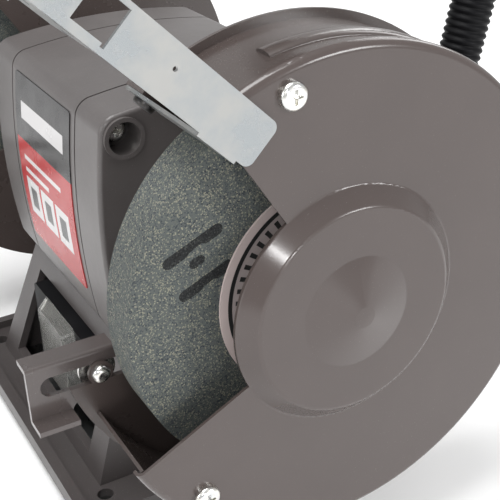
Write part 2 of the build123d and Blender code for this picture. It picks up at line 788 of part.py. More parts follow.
# ================================================================ eye shields
arm_x = cover_face_x + shield_arm_gap
pane_screw_x = (arm_x - 12, arm_x - 32)
pane_screw_along = pane_span[0] + 12

with BuildPart() as shield_bracket:
    # arm beside the cover
    with BuildSketch(arm_plane(arm_x + shield_sheet)):
        with Locations((shield_arm_length / 2, shield_arm_width / 2)):
            RectangleRounded(shield_arm_length, shield_arm_width, arm_corner)
            with Locations((shelf_start + 8 - shield_arm_length / 2, 0)):
                Rectangle(arm_window, arm_window, mode=Mode.SUBTRACT)
            with Locations((arm_hole[0] - shield_arm_length / 2, arm_hole[1])):
                Circle(0.8, mode=Mode.SUBTRACT)
        with Locations((arrestor_span[0], -shield_sheet)):
            Rectangle(arrestor_span[1] - arrestor_span[0], 2 * shield_sheet, align=(Align.MIN, Align.MIN))
        with Locations((shelf_start + arm_corner, 0)):
            Rectangle(shield_arm_length - shelf_start - arm_corner, arm_corner, align=(Align.MIN, Align.MIN))
    extrude(amount=shield_sheet)
    # spark arrestor across the mouth, with its slot over the clamp bolt
    with BuildSketch(shield_plane(-shield_sheet)):
        with Locations((arrestor_middle, arm_x + shield_sheet)):
            Rectangle(arrestor_span[1] - arrestor_span[0], arm_x + shield_sheet - clamp_x,
                      align=(Align.CENTER, Align.MAX))
        with Locations((arrestor_middle, clamp_x)):
            Circle((arrestor_span[1] - arrestor_span[0]) / 2)
        with Locations((arrestor_middle, clamp_x)):
            SlotOverall(arrestor_slot, 2 * clamp_bolt_radius + 0.6, mode=Mode.SUBTRACT)
    extrude(amount=shield_sheet)
    # shelf that carries the pane
    with BuildSketch(shield_plane(0)):
        with Locations(((shelf_start + shield_arm_length) / 2, arm_x + shield_sheet)):
            Rectangle(shield_arm_length - shelf_start, shelf_depth, align=(Align.CENTER, Align.MAX))
        for x in pane_screw_x:
            with Locations((pane_screw_along, x)):
                Circle(pane_screw_radius + 0.1, mode=Mode.SUBTRACT)
    extrude(amount=shield_sheet)
finish_pair("shield_bracket", shield_bracket.part)

with BuildPart() as shield_bolts:
    clamp_plane = shield_plane(-shield_sheet - 0.1, arrestor_middle, clamp_x)
    with BuildSketch(clamp_plane):
        Circle(clamp_bolt_radius + 1.6)
    extrude(amount=-2)
    fillet(shield_bolts.faces().sort_by(Axis((0, 0, 0), clamp_plane.z_dir))[0].edges(), 1.2)
    with BuildSketch(clamp_plane):
        Circle(clamp_bolt_radius)
    extrude(amount=11)
    with BuildSketch(clamp_plane.offset(shield_sheet + 0.1 + arrestor_gap + guard_plate)):
        RegularPolygon(4, 6, major_radius=False)
    extrude(amount=4)
    mirror(about=Plane.YZ)
finish("shield_bolts", shield_bolts.part)

with BuildPart() as eye_shield:
    with BuildSketch(shield_plane(0)):
        with Locations(((pane_span[0] + pane_span[1]) / 2, arm_x)):
            RectangleRounded(pane_span[1] - pane_span[0], pane_width, 5, align=(Align.CENTER, Align.MAX))
        for x in pane_screw_x:
            with Locations((pane_screw_along, x)):
                Circle(pane_screw_radius + 0.1, mode=Mode.SUBTRACT)
    extrude(amount=-pane_thickness)
finish_pair("eye_shield", eye_shield.part)

with BuildPart() as pane_screws:
    for x in pane_screw_x:
        head = shield_plane(-pane_thickness, pane_screw_along, x)
        add(pan_screw(Plane(origin=head.origin, x_dir=head.x_dir, z_dir=-head.z_dir),
                      3.8, 2.2, pane_screw_radius, 10))
        add(hex_nut(head.offset(pane_thickness + shield_sheet), 7, 3, pane_screw_radius))
finish_pair("pane_screws", pane_screws.part)
# ================================================================ lamp
def lean_direction(lean):
    """Unit vector at an angle back from upright."""
    return (0, sin(radians(lean)), cos(radians(lean)))


def along_plane(origin, lean, distance):
    """Plane facing along the lean, a distance from the origin; local X is +X."""
    direction = lean_direction(lean)
    centre = tuple(o + distance * d for o, d in zip(origin, direction))
    return Plane(origin=centre, x_dir=(1, 0, 0), z_dir=direction)


hinges = [(neck_x, neck_foot_y, neck_foot_z)]
for lean, length in zip(neck_leans, neck_lengths):
    hinges.append(tuple(o + length * d for o, d in zip(hinges[-1], lean_direction(lean))))

with BuildPart() as lamp_ferrule:
    ear_top = flange_top_z + rim_height
    with BuildSketch(Plane.XY.offset(ear_top)):
        with Locations((neck_x, neck_foot_y)):
            RegularPolygon(neck_hose_radius + 2.5, 6, major_radius=False)
    extrude(amount=7)
    with BuildSketch(Plane.XY.offset(ear_top + 7)):
        with Locations((neck_x, neck_foot_y)):
            Circle(neck_hose_radius)
    extrude(amount=neck_foot_z - ear_top - 7)
    with Locations(hinges[0]):
        Sphere(neck_hose_radius)
    with BuildSketch(Plane.XY.offset(foot_height + 0.5)):
        with Locations((neck_x, neck_foot_y)):
            Circle(ferrule_shank_radius - running_clearance)
    extrude(amount=ear_top - foot_height - 0.5)
finish("lamp_ferrule", lamp_ferrule.part)

segment_start = neck_hose_radius + neck_joint_gap
for index, name in enumerate(("lower", "middle", "upper")):
    with BuildPart() as hose:
        with BuildSketch(along_plane(hinges[index], neck_leans[index], segment_start)):
            Circle(neck_hose_radius)
        extrude(amount=neck_lengths[index] - segment_start)
        with Locations(hinges[index + 1]):
            Sphere(neck_hose_radius)
    finish("gooseneck_" + name, hose.part)

head_plane = along_plane(hinges[-1], head_lean, 0)
head_lathe = Plane(origin=hinges[-1], x_dir=head_plane.x_dir, z_dir=head_plane.y_dir)
head_axis = Axis(hinges[-1], lean_direction(head_lean))
shade_mouth = segment_start + shade_length
collar_radius = neck_hose_radius + 3
button_at = segment_start + 8


def lathe_piece(profile):
    """Solid turned about the lamp head's axis from (distance, radius) points."""
    with BuildPart() as turned:
        with BuildSketch(head_lathe):
            with BuildLine():
                Polyline(*[(radius, -distance) for distance, radius in profile], close=True)
            make_face()
        revolve(axis=head_axis)
    return turned.part


shade_back = segment_start + 16
shade_shoulder = segment_start + 32
shoulder_radius = shade_radius * 0.82

with BuildPart() as lamp_shell:
    add(lathe_piece([
        (segment_start, 0), (segment_start, collar_radius - 1.5), (segment_start + 1.5, collar_radius),
        (shade_back, collar_radius), (shade_shoulder, shoulder_radius), (shade_mouth, shade_radius),
        (shade_mouth, shade_radius - shade_wall), (shade_shoulder, shoulder_radius - shade_wall),
        (shade_back + shade_wall, collar_radius - shade_wall),
        (segment_start + 2, collar_radius - shade_wall), (segment_start + 2, 0)]))
    with BuildSketch(Plane(origin=along_plane(hinges[-1], head_lean, button_at).origin,
                           x_dir=head_plane.z_dir, z_dir=(1, 0, 0))):
        Circle(button_radius + 0.5)
    extrude(amount=2 * collar_radius, mode=Mode.SUBTRACT)
finish("lamp_shell", lamp_shell.part)

with BuildPart() as lamp_button:
    with BuildSketch(Plane(origin=along_plane(hinges[-1], head_lean, button_at).origin,
                           x_dir=head_plane.z_dir, z_dir=(1, 0, 0)).offset(collar_radius - 2)):
        Circle(button_radius)
    extrude(amount=6)
    fillet(lamp_button.faces().sort_by(Axis.X)[-1].edges(), 1)
finish("lamp_button", lamp_button.part)

socket_end = segment_start + 26
finish("lamp_socket", lathe_piece([
    (segment_start + 2, 0), (segment_start + 2, socket_radius), (socket_end, socket_radius),
    (socket_end, 0)]))

with BuildPart() as bulb:
    with BuildSketch(along_plane(hinges[-1], head_lean, socket_end)):
        Circle(socket_radius - 1)
    extrude(amount=9)
    with Locations(along_plane(hinges[-1], head_lean, socket_end + 17).origin):
        Sphere(bulb_radius)
finish("bulb", bulb.part)


os.makedirs("parts", exist_ok=True)
for name, part in pieces.items():
    export_step(part, f"parts/{name}.step")
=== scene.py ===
import bpy
import bmesh
import json
from math import cos, pi, radians, sin, tau
from mathutils import Matrix, Vector


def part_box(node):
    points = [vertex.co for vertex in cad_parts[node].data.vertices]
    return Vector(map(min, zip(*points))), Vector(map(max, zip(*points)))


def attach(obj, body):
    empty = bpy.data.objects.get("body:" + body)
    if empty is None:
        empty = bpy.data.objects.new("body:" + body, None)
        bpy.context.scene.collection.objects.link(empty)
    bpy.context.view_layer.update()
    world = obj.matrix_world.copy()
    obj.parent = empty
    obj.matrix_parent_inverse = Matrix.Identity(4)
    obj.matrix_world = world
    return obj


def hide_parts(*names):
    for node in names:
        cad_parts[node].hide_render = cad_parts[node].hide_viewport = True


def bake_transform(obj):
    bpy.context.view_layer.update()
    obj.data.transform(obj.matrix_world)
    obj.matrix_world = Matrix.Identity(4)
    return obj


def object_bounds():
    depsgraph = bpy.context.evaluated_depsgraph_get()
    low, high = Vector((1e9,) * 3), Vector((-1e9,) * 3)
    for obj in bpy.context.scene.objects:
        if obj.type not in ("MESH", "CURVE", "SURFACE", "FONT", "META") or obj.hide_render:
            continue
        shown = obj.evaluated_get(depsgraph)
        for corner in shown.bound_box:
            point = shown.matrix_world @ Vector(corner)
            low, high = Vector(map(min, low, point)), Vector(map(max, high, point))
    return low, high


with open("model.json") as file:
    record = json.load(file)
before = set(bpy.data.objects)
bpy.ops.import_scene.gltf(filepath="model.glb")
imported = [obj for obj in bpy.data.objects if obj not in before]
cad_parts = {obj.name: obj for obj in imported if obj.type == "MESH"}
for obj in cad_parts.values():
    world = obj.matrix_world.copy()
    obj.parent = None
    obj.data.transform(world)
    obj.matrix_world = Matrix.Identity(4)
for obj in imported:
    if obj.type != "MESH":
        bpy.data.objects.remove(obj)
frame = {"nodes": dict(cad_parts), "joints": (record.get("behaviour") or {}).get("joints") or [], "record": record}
cad_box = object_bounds()

# The grinder, in metres: spindle along X, front towards -Y.
wheel_low, wheel_high = (Vector(c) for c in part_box("wheel_right"))
spindle = (wheel_low + wheel_high) / 2


# ================================================================ camera
def place_camera():
    camera = bpy.data.objects.new("camera", bpy.data.cameras.new("camera"))
    bpy.context.scene.collection.objects.link(camera)
    bpy.context.scene.camera = camera
    right = Vector((0.4929, 0.8695, -0.0325))
    forward = Vector((-0.7770, 0.4231, -0.4661))
    right = (right - forward * right.dot(forward) / forward.length_squared).normalized()
    up = right.cross(forward).normalized()
    turn = Matrix((right, up, -forward.normalized())).transposed()
    camera.matrix_world = Matrix.Translation((0.40692, -0.17674, 0.30529)) @ turn.to_4x4()
    camera.data.sensor_width = 36
    camera.data.lens = 74.87
    camera.data.clip_start = 0.01


place_camera()


# ================================================================ shader groups
def new_group(name, inputs, outputs):
    """Empty shader group with named sockets; returns the tree and its ends."""
    tree = bpy.data.node_groups.new(name, "ShaderNodeTree")
    for label, kind, value in inputs:
        socket = tree.interface.new_socket(label, in_out="INPUT", socket_type=kind)
        if value is not None:
            socket.default_value = value
    for label, kind in outputs:
        tree.interface.new_socket(label, in_out="OUTPUT", socket_type=kind)
    return tree, tree.nodes.new("NodeGroupInput"), tree.nodes.new("NodeGroupOutput")


def node(tree, kind, **settings):
    made = tree.nodes.new(kind)
    for key, value in settings.items():
        setattr(made, key, value)
    return made


def wire(tree, source, target):
    tree.links.new(source, target)


def maths(tree, operation, first, second=None):
    made = node(tree, "ShaderNodeMath", operation=operation)
    for socket, value in zip(made.inputs, (first, second)):
        if value is None:
            continue
        if isinstance(value, (int, float)):
            socket.default_value = value
        else:
            wire(tree, value, socket)
    return made.outputs[0]


def noise(tree, vector, scale, detail=4.0, roughness=0.55):
    made = node(tree, "ShaderNodeTexNoise")
    wire(tree, vector, made.inputs["Vector"])
    if isinstance(scale, (int, float)):
        made.inputs["Scale"].default_value = scale
    else:
        wire(tree, scale, made.inputs["Scale"])
    made.inputs["Detail"].default_value = detail
    made.inputs["Roughness"].default_value = roughness
    return made.outputs["Fac"]


def spread(tree, value, low, high, to_low=0.0, to_high=1.0):
    made = node(tree, "ShaderNodeMapRange")
    wire(tree, value, made.inputs["Value"])
    for label, number in (("From Min", low), ("From Max", high), ("To Min", to_low), ("To Max", to_high)):
        if isinstance(number, (int, float)):
            made.inputs[label].default_value = number
        else:
            wire(tree, number, made.inputs[label])
    return made.outputs["Result"]


def blend_colours(tree, mask, first, second):
    made = node(tree, "ShaderNodeMix", data_type="RGBA")
    wire(tree, mask, made.inputs[0])
    for socket, value in ((made.inputs[6], first), (made.inputs[7], second)):
        if isinstance(value, tuple):
            socket.default_value = value
        else:
            wire(tree, value, socket)
    return made.outputs[2]


def rgba(red, green, blue):
    return (red, green, blue, 1.0)


def build_sprayed_paint():
    """Sprayed enamel: faint tone drift, dust specks, orange peel."""
    tree, ins, outs = new_group(
        "sprayed_paint",
        [("Paint", "NodeSocketColor", rgba(0.5, 0.5, 0.5)), ("Drift", "NodeSocketFloat", 0.08),
         ("Peel Size", "NodeSocketFloat", 420.0), ("Roughness", "NodeSocketFloat", 0.3),
         ("Specks", "NodeSocketFloat", 0.3), ("Position", "NodeSocketVector", None)],
        [("Color", "NodeSocketColor"), ("Roughness", "NodeSocketFloat"), ("Height", "NodeSocketFloat")])
    place = ins.outputs["Position"]
    drift = noise(tree, place, 38.0, 3.0)
    darker = node(tree, "ShaderNodeHueSaturation")
    wire(tree, ins.outputs["Paint"], darker.inputs["Color"])
    wire(tree, maths(tree, "SUBTRACT", 1.0, ins.outputs["Drift"]), darker.inputs["Value"])
    tone = blend_colours(tree, spread(tree, drift, 0.35, 0.65), ins.outputs["Paint"], darker.outputs["Color"])
    dust = spread(tree, noise(tree, place, 2600.0, 1.0), 0.73, 0.78)
    dust_mask = maths(tree, "MULTIPLY", dust, ins.outputs["Specks"])
    wire(tree, blend_colours(tree, dust_mask, tone, rgba(0.55, 0.53, 0.51)), outs.inputs["Color"])
    smear = spread(tree, noise(tree, place, 16.0, 6.0, 0.65), 0.3, 0.7, -0.05, 0.07)
    uneven = maths(tree, "ADD", smear, maths(tree, "MULTIPLY", dust_mask, 0.3))
    wire(tree, maths(tree, "ADD", ins.outputs["Roughness"], uneven), outs.inputs["Roughness"])
    peel = noise(tree, place, ins.outputs["Peel Size"], 2.0, 0.4)
    wire(tree, maths(tree, "ADD", peel, maths(tree, "MULTIPLY", dust_mask, 0.4)), outs.inputs["Height"])
    return tree


def build_plated_steel():
    """Zinc passivation: milky spangle with warm and cool areas, fine rolling lines."""
    tree, ins, outs = new_group(
        "plated_steel",
        [("Cool", "NodeSocketColor", rgba(0.6, 0.65, 0.7)),
         ("Warm", "NodeSocketColor", rgba(0.75, 0.73, 0.66)),
         ("Spangle Size", "NodeSocketFloat", 90.0), ("Roughness", "NodeSocketFloat", 0.3),
         ("Position", "NodeSocketVector", None)],
        [("Color", "NodeSocketColor"), ("Roughness", "NodeSocketFloat"), ("Height", "NodeSocketFloat")])
    place = ins.outputs["Position"]
    cloud = noise(tree, place, ins.outputs["Spangle Size"], 5.0, 0.6)
    stretched = node(tree, "ShaderNodeMapping")
    stretched.inputs["Scale"].default_value = (1.0, 22.0, 22.0)
    wire(tree, place, stretched.inputs["Vector"])
    lines = noise(tree, stretched.outputs["Vector"], 160.0, 3.0)
    wire(tree, blend_colours(tree, spread(tree, cloud, 0.38, 0.62), ins.outputs["Cool"], ins.outputs["Warm"]),
         outs.inputs["Color"])
    cloudy = spread(tree, cloud, 0.3, 0.7, -0.08, 0.12)
    wire(tree, maths(tree, "ADD", ins.outputs["Roughness"], cloudy), outs.inputs["Roughness"])
    wire(tree, maths(tree, "ADD", maths(tree, "MULTIPLY", lines, 0.6), maths(tree, "MULTIPLY", cloud, 0.4)),
         outs.inputs["Height"])
    return tree


def build_grit():
    """Bonded grit: packed grains of several tones with dark pores."""
    tree, ins, outs = new_group(
        "bonded_grit",
        [("Grain", "NodeSocketColor", rgba(0.3, 0.33, 0.3)),
         ("Light Grain", "NodeSocketColor", rgba(0.6, 0.6, 0.5)),
         ("Pore", "NodeSocketColor", rgba(0.06, 0.07, 0.07)), ("Grit Size", "NodeSocketFloat", 1500.0),
         ("Position", "NodeSocketVector", None)],
        [("Color", "NodeSocketColor"), ("Roughness", "NodeSocketFloat"), ("Height", "NodeSocketFloat")])
    place = ins.outputs["Position"]
    cells = node(tree, "ShaderNodeTexVoronoi", feature="F1")
    wire(tree, place, cells.inputs["Vector"])
    wire(tree, ins.outputs["Grit Size"], cells.inputs["Scale"])
    shade = node(tree, "ShaderNodeSeparateColor")
    wire(tree, cells.outputs["Color"], shade.inputs["Color"])
    grain = blend_colours(tree, spread(tree, shade.outputs["Red"], 0.78, 0.86), ins.outputs["Grain"],
                          ins.outputs["Light Grain"])
    grain = blend_colours(tree, spread(tree, shade.outputs["Green"], 0.80, 0.88), grain, ins.outputs["Pore"])
    patch = spread(tree, noise(tree, place, 130.0, 4.0), 0.35, 0.65, 0.0, 0.35)
    wire(tree, blend_colours(tree, patch, grain, ins.outputs["Grain"]), outs.inputs["Color"])
    wire(tree, spread(tree, shade.outputs["Blue"], 0.0, 1.0, 0.72, 0.98), outs.inputs["Roughness"])
    step = maths(tree, "MULTIPLY", shade.outputs["Green"], -0.6)
    wire(tree, maths(tree, "ADD", step, cells.outputs["Distance"]), outs.inputs["Height"])
    return tree


def build_moulding():
    """Moulded plastic or rubber: spark texture, rubbed smooth in places."""
    tree, ins, outs = new_group(
        "moulded_skin",
        [("Tint", "NodeSocketColor", rgba(0.03, 0.03, 0.03)),
         ("Dusty", "NodeSocketColor", rgba(0.12, 0.12, 0.12)),
         ("Texture Size", "NodeSocketFloat", 900.0), ("Roughness", "NodeSocketFloat", 0.5),
         ("Position", "NodeSocketVector", None)],
        [("Color", "NodeSocketColor"), ("Roughness", "NodeSocketFloat"), ("Height", "NodeSocketFloat")])
    place = ins.outputs["Position"]
    cloud = noise(tree, place, 55.0, 5.0, 0.6)
    dusty = spread(tree, cloud, 0.45, 0.8, 0.0, 0.5)
    wire(tree, blend_colours(tree, dusty, ins.outputs["Tint"], ins.outputs["Dusty"]), outs.inputs["Color"])
    wire(tree, maths(tree, "ADD", ins.outputs["Roughness"], spread(tree, cloud, 0.3, 0.7, -0.06, 0.1)),
         outs.inputs["Roughness"])
    wire(tree, noise(tree, place, ins.outputs["Texture Size"], 2.0), outs.inputs["Height"])
    return tree


sprayed_paint = build_sprayed_paint()
plated_steel = build_plated_steel()
bonded_grit = build_grit()
moulded_skin = build_moulding()


# ================================================================ materials
def material(name, group, values, bump=0.1, bump_distance=0.0002, **principled):
    """Material whose surface comes from one group; plain values go straight to the shader."""
    made = bpy.data.materials.new(name)
    made.use_nodes = True
    tree = made.node_tree
    shader = tree.nodes["Principled BSDF"]
    place = node(tree, "ShaderNodeTexCoord")
    surface = node(tree, "ShaderNodeGroup", node_tree=group)
    wire(tree, place.outputs["Object"], surface.inputs["Position"])
    for label, value in values.items():
        surface.inputs[label].default_value = value
    wire(tree, surface.outputs["Color"], shader.inputs["Base Color"])
    wire(tree, surface.outputs["Roughness"], shader.inputs["Roughness"])
    relief = node(tree, "ShaderNodeBump")
    relief.inputs["Strength"].default_value = bump
    relief.inputs["Distance"].default_value = bump_distance
    wire(tree, surface.outputs["Height"], relief.inputs["Height"])
    wire(tree, relief.outputs["Normal"], shader.inputs["Normal"])
    for label, value in principled.items():
        shader.inputs[label.replace("_", " ")].default_value = value
    return made


cover_enamel = material(
    "cover_enamel", sprayed_paint,
    {"Paint": rgba(0.072, 0.056, 0.052), "Drift": 0.05,
     "Roughness": 0.20, "Specks": 0.15, "Peel Size": 520.0},
    bump=0.05, Coat_Weight=0.2, Coat_Roughness=0.1)
guard_enamel = material(
    "guard_enamel", sprayed_paint,
    {"Paint": rgba(0.068, 0.053, 0.049), "Drift": 0.07,
     "Roughness": 0.26, "Specks": 0.25, "Peel Size": 480.0},
    bump=0.08, Coat_Weight=0.25, Coat_Roughness=0.18)
rest_enamel = material(
    "rest_enamel", sprayed_paint,
    {"Paint": rgba(0.085, 0.070, 0.067), "Drift": 0.05,
     "Roughness": 0.22, "Specks": 0.15, "Peel Size": 600.0},
    bump=0.06, Coat_Weight=0.4, Coat_Roughness=0.1)
motor_enamel = material(
    "motor_enamel", sprayed_paint,
    {"Paint": rgba(0.100, 0.090, 0.088), "Drift": 0.12,
     "Roughness": 0.36, "Specks": 0.35, "Peel Size": 380.0},
    bump=0.16, Coat_Weight=0.15, Coat_Roughness=0.25)
base_enamel = material(
    "base_enamel", sprayed_paint,
    {"Paint": rgba(0.062, 0.054, 0.053), "Drift": 0.12,
     "Roughness": 0.38, "Specks": 0.35, "Peel Size": 340.0},
    bump=0.2, Coat_Weight=0.12, Coat_Roughness=0.3)
zinc = material(
    "zinc_plating", plated_steel,
    {"Cool": rgba(0.33, 0.35, 0.36), "Warm": rgba(0.39, 0.39, 0.38), "Spangle Size": 70.0, "Roughness": 0.30},
    bump=0.05, Metallic=1.0)
bright_zinc = material(
    "fastener_zinc", plated_steel,
    {"Cool": rgba(0.66, 0.67, 0.68), "Warm": rgba(0.80, 0.78, 0.72), "Spangle Size": 420.0,
     "Roughness": 0.22},
    bump=0.08, Metallic=1.0)
black_steel = material(
    "black_steel", plated_steel,
    {"Cool": rgba(0.05, 0.05, 0.055), "Warm": rgba(0.08, 0.075, 0.07), "Spangle Size": 420.0,
     "Roughness": 0.34},
    bump=0.1, Metallic=1.0)
turned_steel = material(
    "turned_steel", plated_steel,
    {"Cool": rgba(0.50, 0.51, 0.52), "Warm": rgba(0.60, 0.59, 0.57), "Spangle Size": 200.0, "Roughness": 0.3},
    bump=0.12, Metallic=1.0)
lamination = material(
    "lamination_steel", plated_steel,
    {"Cool": rgba(0.30, 0.30, 0.31), "Warm": rgba(0.38, 0.36, 0.33), "Spangle Size": 260.0,
     "Roughness": 0.45},
    bump=0.3, Metallic=1.0)
winding = material(
    "copper_winding", plated_steel,
    {"Cool": rgba(0.55, 0.22, 0.10), "Warm": rgba(0.72, 0.36, 0.18), "Spangle Size": 300.0, "Roughness": 0.3},
    bump=0.5, Metallic=1.0)
# Near-black plastic: the real colour of the black mouldings. On the switch panel set across the base opening, the
# same near-black is painted shade, standing in for the shadowed hollow of the base.
black_moulding_and_painted_shade = material(
    "black_moulding_and_painted_shade", moulded_skin,
    {"Tint": rgba(0.006, 0.006, 0.007), "Dusty": rgba(0.015, 0.015, 0.016), "Roughness": 0.45}, bump=0.15,
    Specular_IOR_Level=0.12)
rocker_gloss = material(
    "rocker_gloss", moulded_skin,
    {"Tint": rgba(0.014, 0.014, 0.015), "Dusty": rgba(0.03, 0.03, 0.03),
     "Roughness": 0.24, "Texture Size": 400.0},
    bump=0.05)
foot_rubber = material(
    "foot_rubber", moulded_skin,
    {"Tint": rgba(0.02, 0.02, 0.02), "Dusty": rgba(0.07, 0.065, 0.06), "Roughness": 0.7}, bump=0.3)
hose_sleeve = material(
    "hose_sleeve", moulded_skin,
    {"Tint": rgba(0.005, 0.005, 0.006), "Dusty": rgba(0.012, 0.012, 0.013),
     "Roughness": 0.42, "Texture Size": 1400.0},
    bump=0.06, Specular_IOR_Level=0.12)
lamp_enamel = material(
    "lamp_enamel", sprayed_paint,
    {"Paint": rgba(0.018, 0.018, 0.019), "Drift": 0.05, "Roughness": 0.32, "Specks": 0.2, "Peel Size": 600.0},
    bump=0.08, Coat_Weight=0.3)
socket_cream = material(
    "socket_cream", moulded_skin,
    {"Tint": rgba(0.62, 0.58, 0.48), "Dusty": rgba(0.50, 0.46, 0.38), "Roughness": 0.4}, bump=0.1)
boot_skin = material(
    "boot_skin", moulded_skin,
    {"Tint": rgba(0.80, 0.80, 0.76), "Dusty": rgba(0.66, 0.66, 0.62),
     "Roughness": 0.16, "Texture Size": 500.0},
    bump=0.08, Transmission_Weight=0.93, IOR=1.40, Metallic=0.0)
pane_plastic = material(
    "pane_plastic", moulded_skin,
    {"Tint": rgba(0.93, 0.96, 0.97), "Dusty": rgba(0.86, 0.90, 0.92),
     "Roughness": 0.05, "Texture Size": 200.0},
    bump=0.01, Transmission_Weight=0.95, IOR=1.5, Metallic=0.0)
bulb_frost = material(
    "bulb_frost", moulded_skin,
    {"Tint": rgba(0.92, 0.91, 0.87), "Dusty": rgba(0.86, 0.85, 0.80),
     "Roughness": 0.35, "Texture Size": 1200.0},
    bump=0.05, Transmission_Weight=0.5, IOR=1.45, Metallic=0.0)
grit_stone = material(
    "grit_stone", bonded_grit,
    {"Grain": rgba(0.090, 0.102, 0.098), "Light Grain": rgba(0.26, 0.25, 0.19),
     "Pore": rgba(0.028, 0.034, 0.045),
     "Grit Size": 2300.0}, bump=0.55, bump_distance=0.0003)
stencil_ink = material(
    "stencil_ink", bonded_grit,
    {"Grain": rgba(0.010, 0.011, 0.012), "Light Grain": rgba(0.05, 0.055, 0.05),
     "Pore": rgba(0.004, 0.004, 0.004),
     "Grit Size": 2300.0}, bump=0.5, bump_distance=0.0003)


def spindle_polar(tree):
    """Radius from the spindle and angle round it, from Object coordinates."""
    place = node(tree, "ShaderNodeTexCoord")
    parts = node(tree, "ShaderNodeSeparateXYZ")
    wire(tree, place.outputs["Object"], parts.inputs[0])
    height = maths(tree, "SUBTRACT", parts.outputs["Z"], spindle.z)
    across = parts.outputs["Y"]
    radius = maths(tree, "SQRT", maths(tree, "ADD", maths(tree, "MULTIPLY", across, across),
                                       maths(tree, "MULTIPLY", height, height)))
    return radius, maths(tree, "ARCTAN2", height, across)


def between(tree, value, low, high):
    """One where the value lies between two limits, zero elsewhere."""
    above, below = maths(tree, "GREATER_THAN", value, low), maths(tree, "LESS_THAN", value, high)
    return maths(tree, "MULTIPLY", above, below)


def paper_ring_material():
    """Paper washer: pale ground, a thin black ring and a brownish ring with plain tick marks."""
    inner, line_start, line_end, tick_count = 0.0290, 0.0368, 0.0384, 48.0
    made = material("paper_ring", moulded_skin,
                    {"Tint": rgba(0.62, 0.52, 0.50),
                     "Dusty": rgba(0.52, 0.44, 0.43), "Roughness": 0.6}, bump=0.1)
    tree = made.node_tree
    surface = next(n for n in tree.nodes if n.bl_idname == "ShaderNodeGroup")
    radius, angle = spindle_polar(tree)
    black = between(tree, radius, line_start, line_end)
    brown = between(tree, radius, inner, line_start)
    wave = maths(tree, "SINE", maths(tree, "MULTIPLY", angle, tick_count))
    tick = maths(tree, "MULTIPLY", maths(tree, "GREATER_THAN", wave, 0.35),
                 between(tree, radius, 0.0315, 0.0355))
    colour = blend_colours(tree, brown, surface.outputs["Color"], rgba(0.42, 0.36, 0.35))
    colour = blend_colours(tree, tick, colour, rgba(0.02, 0.02, 0.02))
    colour = blend_colours(tree, black, colour, rgba(0.012, 0.012, 0.012))
    wire(tree, colour, tree.nodes["Principled BSDF"].inputs["Base Color"])
    return made


paper_ring = paper_ring_material()


def front_film_material():
    """Printed film: charcoal head, red field, pale panels and plain bars."""
    made = material("front_film", moulded_skin,
                    {"Tint": rgba(0.40, 0.018, 0.02), "Dusty": rgba(0.33, 0.016, 0.018), "Roughness": 0.22,
                     "Texture Size": 300.0}, bump=0.02)
    tree = made.node_tree
    surface = next(n for n in tree.nodes if n.bl_idname == "ShaderNodeGroup")
    place = node(tree, "ShaderNodeTexCoord")
    parts = node(tree, "ShaderNodeSeparateXYZ")
    wire(tree, place.outputs["Object"], parts.inputs[0])
    along, up = parts.outputs["X"], parts.outputs["Z"]

    def patch(left, right, low, high):
        return maths(tree, "MULTIPLY", between(tree, along, left, right), between(tree, up, low, high))

    top = Vector(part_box("front_label")[1]).z
    colour = blend_colours(tree, patch(-1.0, 1.0, top - 0.030, 1.0), surface.outputs["Color"],
                           rgba(0.012, 0.011, 0.012))
    for drop, width in ((0.037, 0.046), (0.043, 0.030)):
        bar = patch(-0.026, -0.026 + width, top - drop - 0.0022, top - drop)
        colour = blend_colours(tree, bar, colour, rgba(0.62, 0.60, 0.60))
    for column in range(3):
        left = -0.027 + column * 0.0185
        colour = blend_colours(tree, patch(left, left + 0.016, top - 0.066, top - 0.048), colour,
                               rgba(0.60, 0.59, 0.59))
        colour = blend_colours(tree, patch(left + 0.004, left + 0.012, top - 0.062, top - 0.052), colour,
                               rgba(0.05, 0.05, 0.05))
    head_panel = patch(-0.026, 0.026, top - 0.020, top - 0.012)
    colour = blend_colours(tree, head_panel, colour, rgba(0.55, 0.54, 0.54))
    wire(tree, colour, tree.nodes["Principled BSDF"].inputs["Base Color"])
    return made


front_film = front_film_material()

finishes = {
    "base_paint": base_enamel, "black_steel": black_steel, "foot_rubber": foot_rubber,
    "zinc_plate": zinc, "black_plastic": black_moulding_and_painted_shade,
    "rocker_plastic": rocker_gloss, "boot_clear": boot_skin, "capacitor_can": turned_steel,
    "motor_paint": motor_enamel, "label_print": front_film, "lamination": lamination, "copper": winding,
    "bearing_steel": turned_steel, "abrasive": grit_stone, "paper": paper_ring, "guard_paint": guard_enamel,
    "cover_paint": cover_enamel, "rest_paint": rest_enamel, "pane_clear": pane_plastic,
    "neck_rubber": hose_sleeve, "lamp_black": lamp_enamel, "socket_plastic": socket_cream,
    "bulb_glass": bulb_frost,
}
fasteners = ("cover_screws", "guard_screws", "rest_bolts", "through_bolts",
             "pane_screws_right", "pane_screws_left")
slot_of = {part["node"]: part["material_slot"] for part in frame["record"]["subparts"]}
for name, piece in frame["nodes"].items():
    finish = bright_zinc if name in fasteners else finishes[slot_of[name]]
    for slot in piece.material_slots:
        slot.material = finish


# ================================================================ pieces
def plain_mesh(name, collection_mesh):
    made = bpy.data.objects.new(name, collection_mesh)
    bpy.context.scene.collection.objects.link(made)
    return made


def socket_id(tree, label):
    return next(item.identifier for item in tree.interface.items_tree
                if item.item_type == "SOCKET" and item.in_out == "INPUT" and item.name == label)


